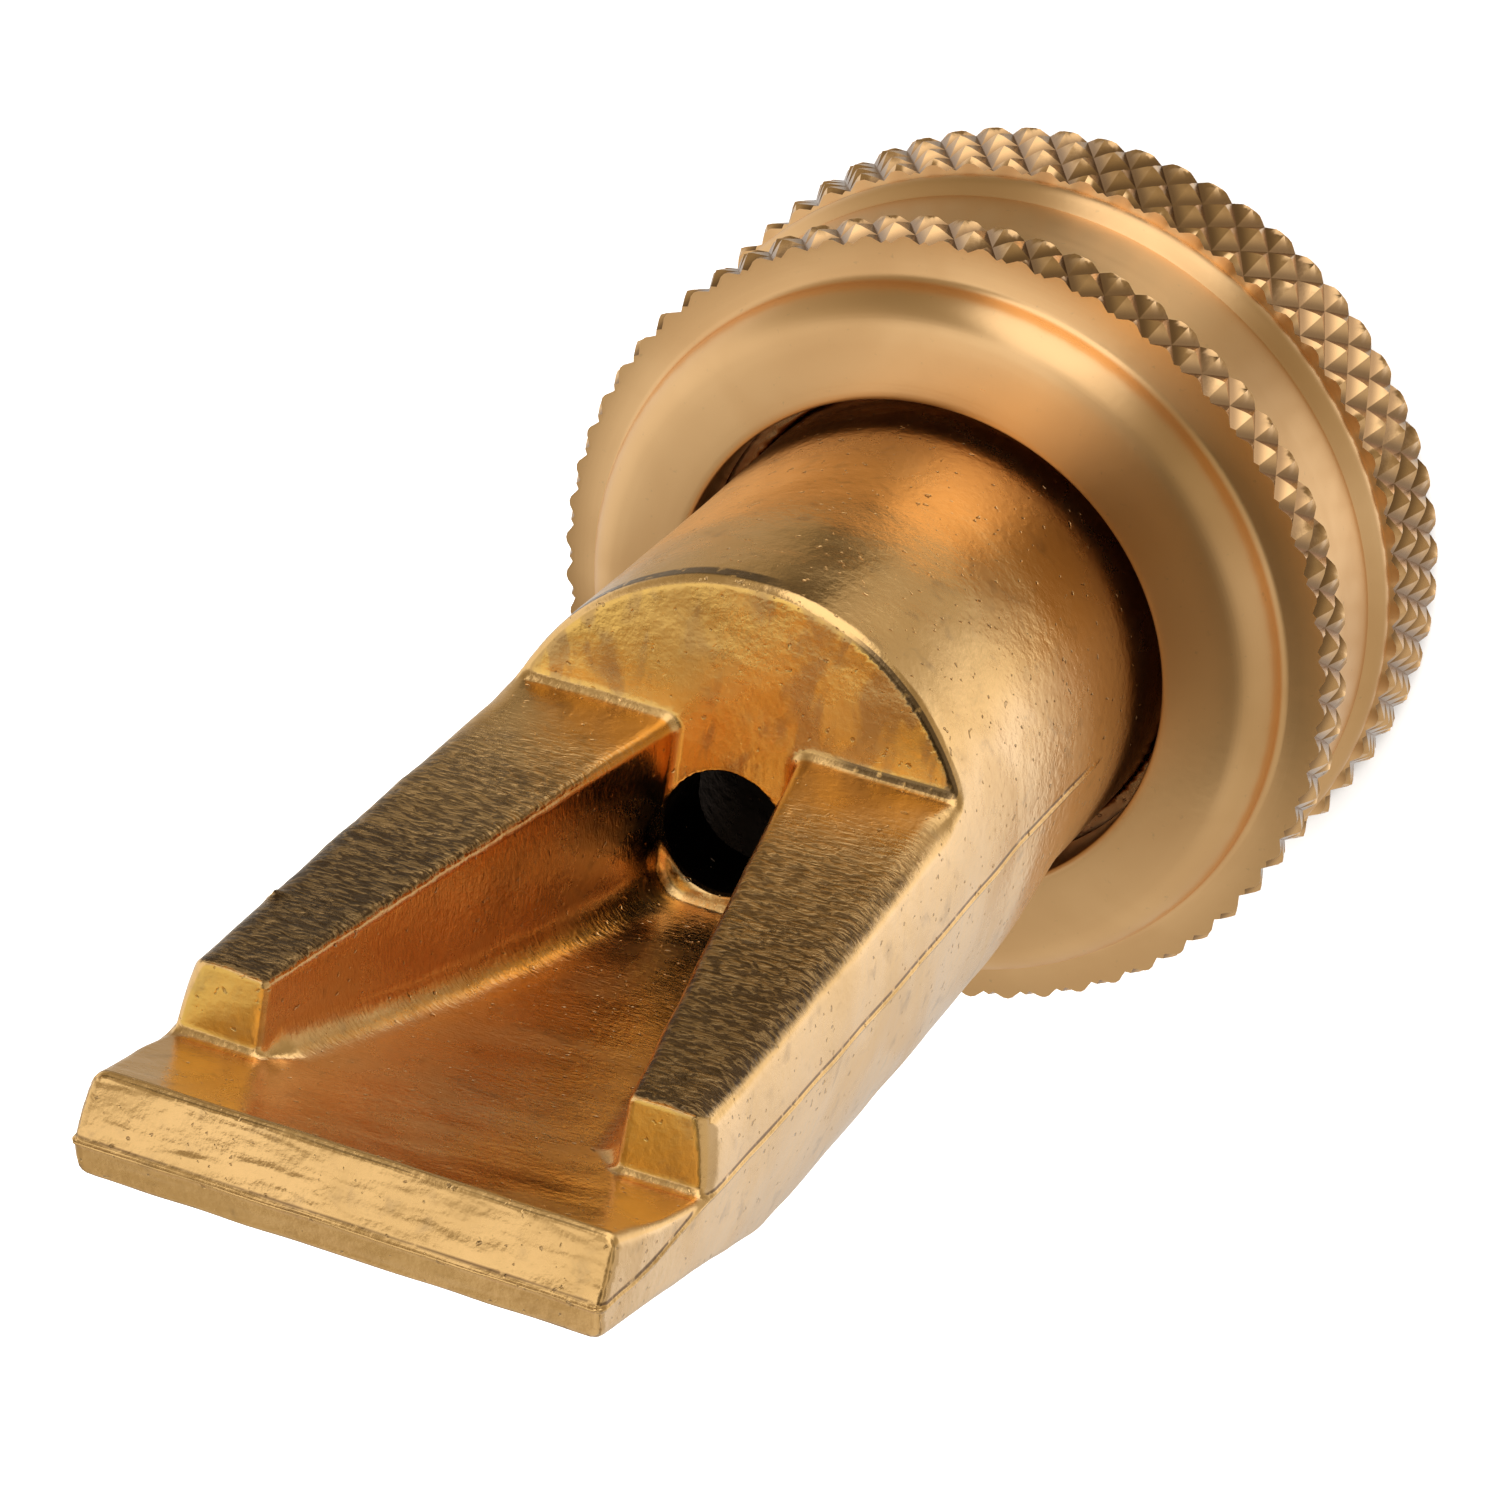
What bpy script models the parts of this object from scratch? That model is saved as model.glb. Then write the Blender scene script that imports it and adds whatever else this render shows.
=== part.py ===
"""Brass flat-fan spray nozzle with a knurled swivel coupling nut, for a 3/4 inch hose thread.

Run it in Blender: blender --background --python part.py

The nozzle stands upright on the rear face of its nut. Z is the nozzle's axis, with Z = 0 at that face
and the fan's lip at the top. The open, fan side of the nozzle faces -Y. Three pieces make it up:
the nut, the rubber washer held behind its thread, and the cast spreader that turns in the nut.
"""

import math

import bmesh
import bpy
from mathutils import Matrix

MM = 0.001

# Driving dimensions, in millimetres.
NUT_DIAMETER = 34.0  # over the points of the knurl
NUT_TEETH = 62
KNURL_DEPTH = 0.45
KNURL_ROW_STEP = 1.4  # half the length of one diamond along the axis
REAR_BAND_TOP = 4.6
GROOVE_DIAMETER = 31.8
FRONT_BAND_BOTTOM = 10.9
FLANGE_FACE_HEIGHT = 13.5
HUB_DIAMETER = 30.0
HUB_FACE_HEIGHT = 15.9  # the length of the nut
HUB_HOLE_DIAMETER = 21.4

THREAD_MAJOR_DIAMETER = 26.44  # G 3/4, 14 threads to the inch
THREAD_MINOR_DIAMETER = 24.12
THREAD_PITCH = 25.4 / 14
THREAD_TOP = 6.6
RELIEF_DIAMETER = 26.6
RELIEF_TOP = 9.7
SHOULDER_HEIGHT = 12.6
COUNTERBORE_DIAMETER = 24.6

GAP = 0.3  # between pieces that touch
WASHER_DIAMETER = 25.4
WASHER_HOLE_DIAMETER = 16.0
WASHER_THICKNESS = 2.6

FLANGE_DIAMETER = 23.8
FLANGE_THICKNESS = 2.5
NECK_DIAMETER = 20.0
NECK_TOP = 20.4  # where the turned neck ends and the casting begins
BOSS_RADIUS = 10.3
INLET_DIAMETER = 14.0
ORIFICE_DIAMETER = 5.1

TIP_HEIGHT = 67.9
TIP_HALF_WIDTH = 10.85
BACK_DEPTH = 10.4  # from the axis to the rounded back of the boss
WIDENING_START = 29.0
FAN_WALL_HEIGHT = 34.8  # of the wall with the orifice, where it crosses the axis
FAN_WALL_DRAFT = 0.11
RIB_ROOT_DEPTH = -4.05  # Y of the ribs' tops at the wall, and at their front ends
RIB_FRONT_DEPTH = -3.1
RIB_FRONT_HEIGHT = 59.4
CHANNEL_ROOT_HALF_WIDTH = 2.65
CHANNEL_TAPER = 0.184  # widening of each side for each unit of height
CHANNEL_DRAFT = 0.35
FLOOR_ROOT_DEPTH = 3.1
FLOOR_ROOT_SLOPE = 0.04
FLOOR_CURVE = 0.00345  # the floor is a parabola that rises towards the lip

OUTER_SEGMENTS = 2 * NUT_TEETH
INNER_SEGMENTS = 62
BODY_SEGMENTS = 48
CUTTER_MARGIN = 3.0

# The back slopes off towards the lip. Each point is a height and the depth of the back there.
BACK_OUTLINE = (
    (39.0, 11.0),
    (42.0, 10.0),
    (47.0, 8.05),
    (53.0, 5.4),
    (57.0, 3.85),
    (61.0, 2.6),
    (TIP_HEIGHT, 1.6),
)


def clear_scene():
    for old in list(bpy.data.objects):
        bpy.data.objects.remove(old, do_unlink=True)


def material(name, color, metallic, roughness):
    made = bpy.data.materials.new(name)
    made.use_nodes = True
    shader = made.node_tree.nodes["Principled BSDF"]
    shader.inputs["Base Color"].default_value = (*color, 1.0)
    shader.inputs["Metallic"].default_value = metallic
    shader.inputs["Roughness"].default_value = roughness
    made.diffuse_color = (*color, 1.0)
    return made


def add_object(name, mesh_builder, finish=None):
    """An object from a bmesh in millimetres, shaded smooth but for its corners."""
    mesh = bpy.data.meshes.new(name)
    bmesh.ops.recalc_face_normals(mesh_builder, faces=mesh_builder.faces)
    bmesh.ops.transform(mesh_builder, matrix=Matrix.Scale(MM, 4), verts=mesh_builder.verts)
    mesh_builder.to_mesh(mesh)
    mesh_builder.free()
    mesh.shade_smooth()
    mesh.set_sharp_from_angle(angle=math.radians(25))
    if finish:
        mesh.materials.append(finish)
    made = bpy.data.objects.new(name, mesh)
    bpy.context.scene.collection.objects.link(made)
    return made


def add_rings(builder, rings, closed=False):
    """Joins rings of points, all of one length, into a skin. A closed skin returns to its first ring."""
    loops = [[builder.verts.new(point) for point in ring] for ring in rings]
    pairs = list(zip(loops, loops[1:]))
    if closed:
        pairs.append((loops[-1], loops[0]))
    for lower, upper in pairs:
        for i in range(len(lower)):
            j = (i + 1) % len(lower)
            add_quad(builder, lower[i], lower[j], upper[j], upper[i])
    return loops


def add_quad(builder, a, b, c, d):
    """Two triangles, folded along the diagonal that lies nearer the Z axis, so that grooves stay grooves."""
    if a.co.xy.length + c.co.xy.length <= b.co.xy.length + d.co.xy.length:
        builder.faces.new((a, b, c))
        builder.faces.new((a, c, d))
    else:
        builder.faces.new((a, b, d))
        builder.faces.new((b, c, d))


def lofted(name, rings, finish=None):
    builder = bmesh.new()
    loops = add_rings(builder, rings)
    builder.faces.new(loops[0][::-1])
    builder.faces.new(loops[-1])
    return add_object(name, builder, finish)


def circle(radius, height, count):
    """Radius is a number, or a function of the point's index and its angle."""
    points = []
    for i in range(count):
        angle = math.tau * i / count
        r = radius(i, angle) if callable(radius) else radius
        points.append((r * math.cos(angle), r * math.sin(angle), height))
    return points


def turned(name, profile, finish=None, segments=BODY_SEGMENTS):
    """A solid of revolution from (radius, height) points, solid between its first and last ring."""
    return lofted(name, [circle(r, z, segments) for r, z in profile], finish)


def cutter(obj):
    obj.hide_render = True
    obj.display_type = "WIRE"
    return obj


def cut(target, tool):
    modifier = target.modifiers.new(tool.name, "BOOLEAN")
    modifier.operation = "DIFFERENCE"
    modifier.solver = "EXACT"
    modifier.object = cutter(tool)


# The coupling nut.


def knurl_row(row):
    """Radius along a ring that crosses the knurl. A whole row has its points and valleys in turn."""
    tip = NUT_DIAMETER / 2
    if row != int(row):
        return tip - KNURL_DEPTH / 2
    return lambda i, angle: tip if (i + int(row)) % 2 == 0 else tip - KNURL_DEPTH


def knurl_band(bottom, top, first_row):
    """Rings of one knurled band. Its rows are KNURL_ROW_STEP apart, and its two edges are chamfered."""
    edge_radius = NUT_DIAMETER / 2 - 1.3 * KNURL_DEPTH
    rows = round(2 * (top - bottom - 0.4) / KNURL_ROW_STEP) / 2
    low = (top + bottom - rows * KNURL_ROW_STEP) / 2
    marks = [0.0]
    while marks[-1] < rows:
        marks.append(min(rows, math.floor(first_row + marks[-1] + 1) - first_row))
    rings = [circle(edge_radius, bottom, OUTER_SEGMENTS)]
    for mark in marks:
        rings.append(circle(knurl_row(first_row + mark), low + mark * KNURL_ROW_STEP, OUTER_SEGMENTS))
    rings.append(circle(edge_radius, top, OUTER_SEGMENTS))
    return rings


def thread_radius(height):
    """Radius along a ring of the female thread, opened out by the lead-in chamfer at its mouth."""
    mouth = THREAD_MAJOR_DIAMETER / 2 + 0.3 - height
    depth = (THREAD_MAJOR_DIAMETER - THREAD_MINOR_DIAMETER) / 2

    def radius(i, angle):
        turn = (height / THREAD_PITCH - angle / math.tau) % 1.0
        flank = 1.0 - abs(2.0 * turn - 1.0)
        return max(THREAD_MINOR_DIAMETER / 2 + depth * flank, mouth)

    return radius


def nut_outer_rings():
    groove = GROOVE_DIAMETER / 2
    hub = HUB_DIAMETER / 2
    rings = knurl_band(0.0, REAR_BAND_TOP, 0)
    for radius, height in (
        (groove + 0.1, REAR_BAND_TOP + 0.6),
        (groove, REAR_BAND_TOP + 0.9),
        (groove, FRONT_BAND_BOTTOM - 0.2),
    ):
        rings.append(circle(radius, height, OUTER_SEGMENTS))
    rings += knurl_band(FRONT_BAND_BOTTOM, FLANGE_FACE_HEIGHT, 0.5)
    for radius, height in (
        (hub + 0.5, FLANGE_FACE_HEIGHT),
        (hub + 0.1, FLANGE_FACE_HEIGHT + 0.3),
        (hub, HUB_FACE_HEIGHT - 1.6),
        (hub - 0.25, HUB_FACE_HEIGHT - 0.5),
        (hub - 0.7, HUB_FACE_HEIGHT),
    ):
        rings.append(circle(radius, height, OUTER_SEGMENTS))
    return rings


def nut_inner_rings():
    """From the hub's hole down to the mouth of the thread."""
    hole = HUB_HOLE_DIAMETER / 2
    rings = []
    for radius, height in (
        (hole + 0.2, HUB_FACE_HEIGHT),
        (hole, HUB_FACE_HEIGHT - 0.2),
        (hole, SHOULDER_HEIGHT),
        (COUNTERBORE_DIAMETER / 2, SHOULDER_HEIGHT),
        (COUNTERBORE_DIAMETER / 2, RELIEF_TOP),
        (RELIEF_DIAMETER / 2, RELIEF_TOP),
        (RELIEF_DIAMETER / 2, THREAD_TOP),
    ):
        rings.append(circle(radius, height, INNER_SEGMENTS))
    steps = round(4 * THREAD_TOP / THREAD_PITCH)
    for step in range(steps, -1, -1):
        height = THREAD_TOP * step / steps
        rings.append(circle(thread_radius(height), height, INNER_SEGMENTS))
    return rings


def fill_between(builder, first, second):
    edges = []
    for loop in (first, second):
        for i in range(len(loop)):
            edges.append(builder.edges.get((loop[i], loop[(i + 1) % len(loop)])))
    bmesh.ops.triangle_fill(builder, edges=edges, use_beauty=True)


def coupling_nut(finish):
    builder = bmesh.new()
    outer = add_rings(builder, nut_outer_rings())
    inner = add_rings(builder, nut_inner_rings())
    fill_between(builder, outer[-1], inner[0])
    fill_between(builder, outer[0], inner[-1])
    return add_object("coupling_nut", builder, finish)


# The washer, and the heights that its place sets.


def washer_top():
    return SHOULDER_HEIGHT - GAP - FLANGE_THICKNESS - GAP


def hose_washer(finish):
    builder = bmesh.new()
    outer = WASHER_DIAMETER / 2
    hole = WASHER_HOLE_DIAMETER / 2
    top = washer_top()
    bottom = top - WASHER_THICKNESS
    profile = (
        (hole, bottom),
        (outer - 0.3, bottom),
        (outer, bottom + 0.3),
        (outer, top - 0.3),
        (outer - 0.3, top),
        (hole, top),
    )
    add_rings(builder, [circle(r, z, BODY_SEGMENTS) for r, z in profile], closed=True)
    return add_object("hose_washer", builder, finish)


# The spreader body.


def smooth(t):
    t = min(max(t, 0.0), 1.0)
    return t * t * (3.0 - 2.0 * t)


def half_width(height):
    """Half the width at the seam, which runs through the axis. It grows from the boss to the lip."""
    t = min(max((height - WIDENING_START) / (TIP_HEIGHT - WIDENING_START), 0.0), 1.0)
    neck = NECK_DIAMETER / 2
    return neck + (TIP_HALF_WIDTH - neck) * t * (2.0 - t)


def section(height):
    """A round front half and a squarer back half."""
    grown = smooth((height - NECK_TOP) / 8.0)
    neck = NECK_DIAMETER / 2
    side = half_width(height)
    front = neck + (BOSS_RADIUS - neck) * grown
    back = neck + (BACK_DEPTH - neck) * grown
    square = 2.0 + 0.6 * grown
    points = []
    for i in range(BODY_SEGMENTS):
        angle = math.tau * i / BODY_SEGMENTS
        c, s = math.cos(angle), math.sin(angle)
        depth, power = (back, square) if s > 0 else (front, 2.0)
        r = (abs(c / side) ** power + abs(s / depth) ** power) ** (-1.0 / power)
        points.append((r * c, r * s, height))
    return points


def body_rings():
    bottom = washer_top() + GAP
    flange = FLANGE_DIAMETER / 2
    neck = NECK_DIAMETER / 2
    rings = [
        circle(flange, bottom, BODY_SEGMENTS),
        circle(flange, bottom + FLANGE_THICKNESS, BODY_SEGMENTS),
        circle(neck, bottom + FLANGE_THICKNESS, BODY_SEGMENTS),
        circle(neck, NECK_TOP, BODY_SEGMENTS),
    ]
    boss = [NECK_TOP + step for step in (2.5, 5.5, 9.0)]
    return rings + [section(height) for height in boss + [36.0, 42.0, 49.0, 58.0, TIP_HEIGHT]]


def floor_depth(height):
    along = height - FAN_WALL_HEIGHT
    return FLOOR_ROOT_DEPTH - FLOOR_ROOT_SLOPE * along - FLOOR_CURVE * along**2


def wall_height(depth):
    return FAN_WALL_HEIGHT + FAN_WALL_DRAFT * depth


def across(name, outline):
    """A cutter from an outline of (depth, height) points, drawn out along X past both sides."""
    reach = TIP_HALF_WIDTH + CUTTER_MARGIN
    return lofted(name, [[(x, y, z) for y, z in outline] for x in (-reach, reach)])


def back_cutter():
    far = BACK_DEPTH + CUTTER_MARGIN
    top = TIP_HEIGHT + 1.0
    outline = [(depth, height) for height, depth in BACK_OUTLINE]
    outline += [(1.4, top), (far, top), (far, outline[0][1])]
    return across("back_cutter", outline)


def front_cutter():
    """Clears the space in front of the ribs and the lip."""
    far = -BOSS_RADIUS - CUTTER_MARGIN
    lip = [RIB_FRONT_HEIGHT + 0.5 + 1.5 * step for step in range(5)]
    outline = [
        (far, wall_height(far)),
        (RIB_ROOT_DEPTH, wall_height(RIB_ROOT_DEPTH)),
        (RIB_FRONT_DEPTH, RIB_FRONT_HEIGHT),
    ]
    outline += [(floor_depth(height), height) for height in lip]
    outline += [
        (-2.1, TIP_HEIGHT - 1.1),
        (0.0, TIP_HEIGHT + 0.05),
        (0.0, TIP_HEIGHT + CUTTER_MARGIN),
        (far, TIP_HEIGHT + CUTTER_MARGIN),
    ]
    return across("front_cutter", outline)


def channel_cutter():
    """The space between the ribs, from the wall to past the ribs' front ends."""
    top = -BOSS_RADIUS
    rings = []
    end = RIB_FRONT_HEIGHT + 1.4
    for step in range(9):
        height = FAN_WALL_HEIGHT + (end - FAN_WALL_HEIGHT) * step / 8
        wide = CHANNEL_ROOT_HALF_WIDTH + CHANNEL_TAPER * (height - FAN_WALL_HEIGHT)
        narrow = wide - CHANNEL_DRAFT
        floor = floor_depth(height)
        low = wall_height(floor) if step == 0 else height
        high = wall_height(top) if step == 0 else height
        rings.append([(-narrow, floor, low), (narrow, floor, low), (wide, top, high), (-wide, top, high)])
    return lofted("channel_cutter", rings)


def waterway_cutter():
    """The inlet bore, its cone and the orifice."""
    inlet = INLET_DIAMETER / 2
    orifice = ORIFICE_DIAMETER / 2
    return turned(
        "waterway_cutter",
        (
            (inlet, washer_top() - 1.0),
            (inlet, FAN_WALL_HEIGHT - 7.8),
            (orifice, FAN_WALL_HEIGHT - 3.4),
            (orifice, FAN_WALL_HEIGHT + 2.0),
        ),
        segments=32,
    )


def spreader_body(finish):
    body = lofted("spreader_body", body_rings(), finish)
    cut(body, back_cutter())
    cut(body, front_cutter())
    cut(body, channel_cutter())
    cut(body, waterway_cutter())
    return body


def main():
    clear_scene()
    turned_brass = material("turned_brass", (0.72, 0.48, 0.20), 1.0, 0.34)
    cast_brass = material("cast_brass", (0.78, 0.50, 0.16), 1.0, 0.22)
    rubber = material("black_rubber", (0.02, 0.02, 0.02), 0.0, 0.7)
    coupling_nut(turned_brass)
    hose_washer(rubber)
    swivel = bpy.data.objects.new("swivel_axis", None)
    bpy.context.scene.collection.objects.link(swivel)
    spreader_body(cast_brass).parent = swivel


main()
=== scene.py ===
"""Looks for the fan spray nozzle: its cast spreader, knurled nut and washer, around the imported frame."""

import math
from types import SimpleNamespace

import bpy
import numpy as np
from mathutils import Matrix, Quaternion, Vector


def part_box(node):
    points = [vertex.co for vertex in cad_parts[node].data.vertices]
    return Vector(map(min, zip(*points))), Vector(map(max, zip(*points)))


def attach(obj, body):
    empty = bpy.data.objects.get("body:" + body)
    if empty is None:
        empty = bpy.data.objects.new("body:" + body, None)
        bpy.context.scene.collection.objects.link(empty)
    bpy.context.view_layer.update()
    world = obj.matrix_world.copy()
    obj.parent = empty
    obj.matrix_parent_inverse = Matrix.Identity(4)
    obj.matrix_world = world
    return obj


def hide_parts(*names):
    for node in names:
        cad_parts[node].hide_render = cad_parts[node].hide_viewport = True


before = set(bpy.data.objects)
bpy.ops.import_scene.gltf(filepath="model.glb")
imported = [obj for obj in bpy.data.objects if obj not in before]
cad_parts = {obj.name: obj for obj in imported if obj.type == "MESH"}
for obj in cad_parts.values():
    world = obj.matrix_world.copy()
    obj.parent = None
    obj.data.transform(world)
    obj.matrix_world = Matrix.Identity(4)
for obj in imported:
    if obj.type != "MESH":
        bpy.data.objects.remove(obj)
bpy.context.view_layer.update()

MM = 0.001
TAU = math.tau


def millimetres(node):
    low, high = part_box(node)
    return np.array(low) / MM, np.array(high) / MM


NUT_HIGH = millimetres("coupling_nut")[1]
WASHER_LOW, WASHER_HIGH = millimetres("hose_washer")
BODY_LOW, BODY_HIGH = millimetres("spreader_body")

# Sizes of the nut, in millimetres.
NUT_RADIUS = NUT_HIGH[0]  # over the points of the knurl
NUT_LENGTH = NUT_HIGH[2]
NUT_TEETH = 62
TOOTH_SEGMENTS = 8
KNURL_DEPTH = 0.52
KNURL_ROW_STEP = 1.43  # half the length of one diamond along the axis
KNURL_CUT = 0.93  # the points are cut flat at this share of their height
KNURL_CHAMFER = 0.2
KNURL_CHAMFER_SLOPE = 1.5
REAR_BAND_TOP = 4.6
BEAD = (  # radius and height round the bead above the rear band
    (16.25, 4.7),
    (16.42, 4.9),
    (16.46, 5.15),
    (16.42, 5.4),
    (16.28, 5.62),
    (16.05, 5.8),
)
GROOVE_RADIUS = 15.9
GROOVE_HEIGHTS = (5.95, 7.0, 8.5, 10.0, 10.6)
GROOVE_END = (16.0, 10.75)
FRONT_BAND_BOTTOM = 10.9
FLANGE_FACE = 13.5
FLANGE_FACE_RADIUS = 16.5
HUB_RADIUS = 15.0
HUB_FOOT_FILLET = 0.35
HUB_EDGE_RADIUS = 1.6
HUB_HOLE_RADIUS = 10.7
HUB_HOLE_EDGE = 0.2
FACE_FALL = 0.24  # how far the turned front face of the hub falls away to its edge
SHOULDER_HEIGHT = 12.6
COUNTERBORE_RADIUS = 12.3
RELIEF_RADIUS = 13.3
RELIEF_TOP = 9.7
THREAD_TOP = 6.6
THREAD_MAJOR_RADIUS = 13.22
THREAD_MINOR_RADIUS = 12.06
THREAD_PITCH = 25.4 / 14
THREAD_RUN_OUT = 0.8
THREAD_MOUTH_CHAMFER = 0.3
THREAD_ROW = 0.12
REAR_FACE_RADII = (14.2, 15.6, 16.3)

# Sizes of the washer.
WASHER_HOLE_RADIUS = 8.0
WASHER_EDGE = 0.35

# Sizes of the spreader.
BODY_BOTTOM = BODY_LOW[2]
TIP = BODY_HIGH[2]
FLANGE_RADIUS = 11.9
FLANGE_HEIGHT = 2.5
FLANGE_TOP = BODY_BOTTOM + FLANGE_HEIGHT
NECK_RADIUS = 10.0
NECK_TOP = 20.4
BOSS_RADIUS = 10.3
BACK_DEPTH = 10.35
TIP_HALF_WIDTH = 10.75
TIP_NARROWING = 0.4  # how far the fan's sides draw in again towards the lip's corners
TIP_NARROWING_START = 61.0
WIDENING_START = 29.0
INLET_RADIUS = 7.0
INLET_TOP = 27.0
CONE_SLANT = 0.7  # the cone below the orifice stands at about 45 degrees
ORIFICE_BOTTOM = 31.4
ORIFICE_RADIUS = 2.52
WALL_HEIGHT = 34.8
WALL_DRAFT = 0.11
RIB_TOP_ROOT = -4.05
RIB_TOP_SLOPE = 0.038
RIB_FRONT = 59.9
RIB_FRONT_DRAFT = 0.167
CHANNEL_ROOT = 2.65
CHANNEL_TAPER = 0.184
CHANNEL_DRAFT = 0.05
FLOOR_ROOT = 3.1
FLOOR_SLOPE = 0.04
FLOOR_CURVE = 0.00345
LIP_START = 58.0
LIP_CURVE = 0.005
LIP_FOREMOST = 0.45  # Y of the line that reaches furthest forward, which is the mould's seam
LIP_TOP_REACH = 2.55  # from there to the lip's upper edge, and how far back that edge lies
LIP_TOP_BACK = 1.2
LIP_BOTTOM_REACH = 1.4
LIP_BOTTOM_BACK = 0.4
LIP_INSET = 0.05  # the seam's ridge stands out from faces set back by this much
BACK_OUTLINE = (  # height and Y of the sloping back
    (37.0, 11.7),
    (42.0, 10.0),
    (47.0, 8.05),
    (53.0, 5.5),
    (57.0, 4.05),
    (61.0, 2.9),
    (69.0, 1.75),
)
FAN_MIDDLE = 51.0
FAN_REACH = 18.0
SEAM_HEIGHT = 0.12
LIP_SEAM_HEIGHT = 0.06
SEAM_WIDTH = 0.1
SEAM_DROP_START = 60.5
BURR = (9.95, -3.5, 53.8)  # a nick of metal on the edge of the +X rib
BURR_HEIGHT = 0.3
BURR_SPREAD = 0.14

# Radii of the spreader's fillets and rounded edges, and the heights between which they change.
CHANNEL_FILLET = 1.35
RIB_FOOT_FILLET = 0.45  # where the ribs' front faces meet the floor
RIB_FOOT_HEIGHTS = (58.3, 59.6)
WALL_FILLET = 0.4
ARCH_EDGE = 0.4
ARCH_HEIGHTS = (34.6, 36.5)
RIB_OUTER_EDGE = 0.8
RIB_END_HEIGHTS = (59.0, 60.3)
LIP_ROOT_EDGE = 0.3
LIP_SIDE_HEIGHTS = (62.0, 66.0)
LIP_SIDE_EDGE = 0.5
RIB_INNER_EDGE = 0.5
RIB_FRONT_EDGE = 0.25
BACK_EDGE = 1.2
BACK_EDGE_HEIGHTS = (48.0, 53.0)
BACK_TIP_EDGE = 0.5
LIP_FRONT_EDGE = 0.28
LIP_SEAM_EDGE = 0.05
FLANGE_EDGE = 0.2
BORE_EDGE = 0.15

# The casting's unevenness: height, and the shortest and longest wave.
CAST_WAVE = 0.009
CAST_WAVELENGTHS = (1.7, 5.0)
RIB_TOP_WAVE = 0.012
RIB_TOP_WAVELENGTHS = (0.8, 1.8)


# Fields. Each gives the distance to a surface in millimetres, below 0 in the material.
# A factor a little below 1 turns a distance across a sloping face into the nearest distance.


def join(a, b, radius):
    """Union with a fillet of that radius."""
    u = np.maximum(radius - a, 0)
    v = np.maximum(radius - b, 0)
    return np.maximum(radius, np.minimum(a, b)) - np.sqrt(u * u + v * v)


def meet(a, b, radius):
    """Intersection with a rounded edge of that radius."""
    u = np.maximum(radius + a, 0)
    v = np.maximum(radius + b, 0)
    return np.minimum(-radius, np.maximum(a, b)) + np.sqrt(u * u + v * v)


def smooth_step(value, low, high):
    t = np.clip((value - low) / (high - low), 0, 1)
    return t * t * (3 - 2 * t)


def through(points, value):
    """A smooth curve through a few points, read at value."""
    at, to = np.array(points, float).T
    slope = np.gradient(to, at)
    i = np.clip(np.searchsorted(at, value) - 1, 0, len(at) - 2)
    width = at[i + 1] - at[i]
    t = np.clip((value - at[i]) / width, 0, 1)
    square, cube = t * t, t * t * t
    start = (2 * cube - 3 * square + 1) * to[i] + (cube - 2 * square + t) * width * slope[i]
    end = (3 * square - 2 * cube) * to[i + 1] + (cube - square) * width * slope[i + 1]
    return start + end


def ripple(x, y, z, seed, shortest, longest):
    """A steady random waviness of about 1 unit either way, from waves between two lengths."""
    count = 7
    random = np.random.default_rng(seed)
    total = 0
    for _ in range(count):
        way = random.normal(size=3)
        way *= TAU / (np.linalg.norm(way) * random.uniform(shortest, longest))
        total = total + np.sin(way[0] * x + way[1] * y + way[2] * z + random.uniform(0, TAU))
    return total / (0.7 * math.sqrt(count))


def uneven(x, y, z):
    """Where a point of the casting would lie if its faces were true. The tip only ever falls short."""
    cast = CAST_WAVE * smooth_step(z, NECK_TOP, NECK_TOP + 2)
    on_ribs = smooth_step(-y, 2.7, 3.0) * smooth_step(z, 38.0, 44.0)
    top = RIB_TOP_WAVE * on_ribs * smooth_step(-z, -60.5, -59.5)
    across = cast * ripple(x, y, z, 1, *CAST_WAVELENGTHS)
    back = cast * ripple(x, y, z, 2, *CAST_WAVELENGTHS)
    back = back + top * ripple(x, 0 * y, z, 4, *RIB_TOP_WAVELENGTHS)
    along = cast * np.maximum(1.4 + ripple(x, y, z, 3, *CAST_WAVELENGTHS), 0)
    return x + across, y + back, z + along


def seam_line(z):
    """Y of the mould's seam."""
    return LIP_FOREMOST * smooth_step(z, SEAM_DROP_START, TIP - 2)


def outer_field(x, y, z):
    """The outside of the neck, the boss and the fan, which are round in front and squarer at the back."""
    grown = smooth_step(z, NECK_TOP, NECK_TOP + 8)
    t = np.clip((z - WIDENING_START) / (TIP - WIDENING_START), 0, 1)
    side = NECK_RADIUS + (TIP_HALF_WIDTH - NECK_RADIUS) * t * (2 - t)
    side = side - TIP_NARROWING * smooth_step(z, TIP_NARROWING_START, TIP + 1)
    back = y > 0
    depth = NECK_RADIUS + (np.where(back, BACK_DEPTH, BOSS_RADIUS) - NECK_RADIUS) * grown
    power = np.where(back, 2.0 + 0.6 * grown, 2.0)
    x = np.maximum(x, 0.001)  # the axis itself has no direction
    level = ((x / side) ** power + (np.abs(y) / depth) ** power) ** (1 / power)
    distance = np.sqrt(x * x + y * y) * (1 - 1 / level)
    from_seam = (y - seam_line(z)) / SEAM_WIDTH
    seam = SEAM_HEIGHT * np.exp(-(from_seam**2)) * smooth_step(z, NECK_TOP, NECK_TOP + 1)
    return distance - seam


def floor_depth(z):
    """Y of the channel's floor, which curves towards the front as it nears the lip."""
    along = z - WALL_HEIGHT
    lip = np.maximum(z - LIP_START, 0)
    return FLOOR_ROOT - FLOOR_SLOPE * along - FLOOR_CURVE * along**2 - LIP_CURVE * lip**2


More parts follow.
